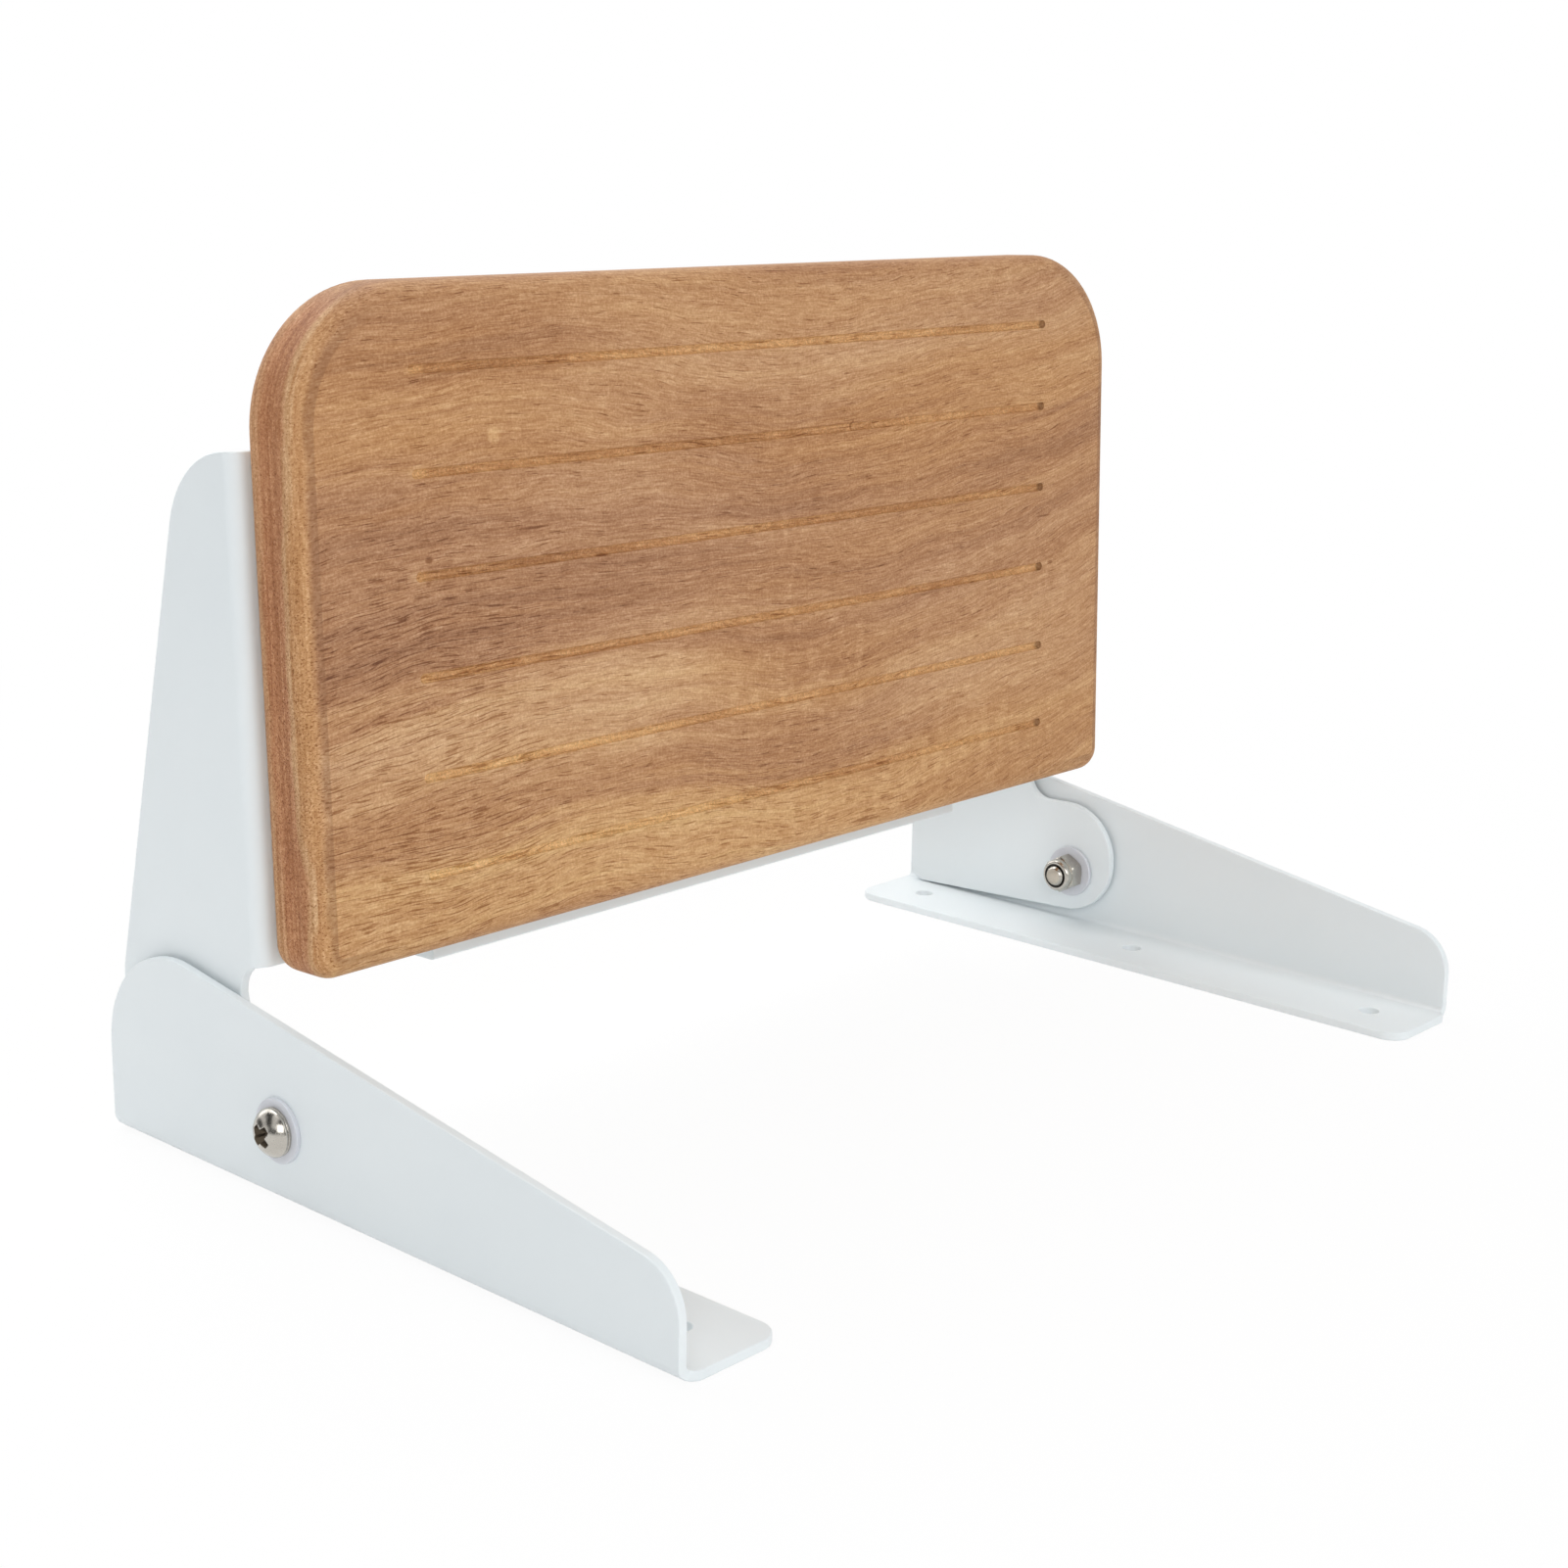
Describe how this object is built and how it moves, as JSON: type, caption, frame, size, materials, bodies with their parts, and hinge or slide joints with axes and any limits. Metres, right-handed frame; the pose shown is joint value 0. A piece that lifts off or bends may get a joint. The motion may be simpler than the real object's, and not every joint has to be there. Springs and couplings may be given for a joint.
{
  "type": "folding shower seat",
  "caption": "Wall-mounted folding shower seat: a grooved wooden board on bent steel arms that turn on bolts between steel wall brackets.",
  "frame": {"origin": "on the wall plane, midway between the wall brackets and midway along them", "axes": "+Z out of the wall, -Y the way the sitting face looks when the seat is down and up the wall as hung, +X to the right as seen from the sitting side, along the pivot line"},
  "size_m": [0.4152, 0.254, 0.2682],
  "materials": {
    "teak": "oiled, matt",
    "white_coat": "satin powder coat",
    "stainless": "polished",
    "nylon": "natural, translucent",
    "dark_nylon": "matt"
  },
  "bodies": {
    "wall_frame": {"left_wall_bracket": "white_coat", "right_wall_bracket": "white_coat", "left_pivot_bolt": "stainless", "right_pivot_bolt": "stainless", "left_plain_washer": "stainless", "right_plain_washer": "stainless", "left_head_washer": "nylon", "right_head_washer": "nylon", "left_spacer_washer": "nylon", "right_spacer_washer": "nylon", "left_nut_washer": "nylon", "right_nut_washer": "nylon", "left_lock_nut": "stainless", "right_lock_nut": "stainless", "left_nut_insert": "dark_nylon", "right_nut_insert": "dark_nylon"},
    "seat": {"seat_board": "teak", "seat_rail": "white_coat", "left_seat_arm": "white_coat", "right_seat_arm": "white_coat", "left_arm_screw_1": "stainless", "left_arm_screw_2": "stainless", "left_arm_screw_3": "stainless", "right_arm_screw_1": "stainless", "right_arm_screw_2": "stainless", "right_arm_screw_3": "stainless", "rail_screw_1": "stainless", "rail_screw_2": "stainless", "rail_screw_3": "stainless"}
  },
  "joints": [
    {"name": "seat_fold", "type": "hinge", "parent": "wall_frame", "child": "seat", "pos_m": [0, 0.04, 0.0235], "axis": [1, 0, 0], "range_deg": [0, 92]}
  ]
}
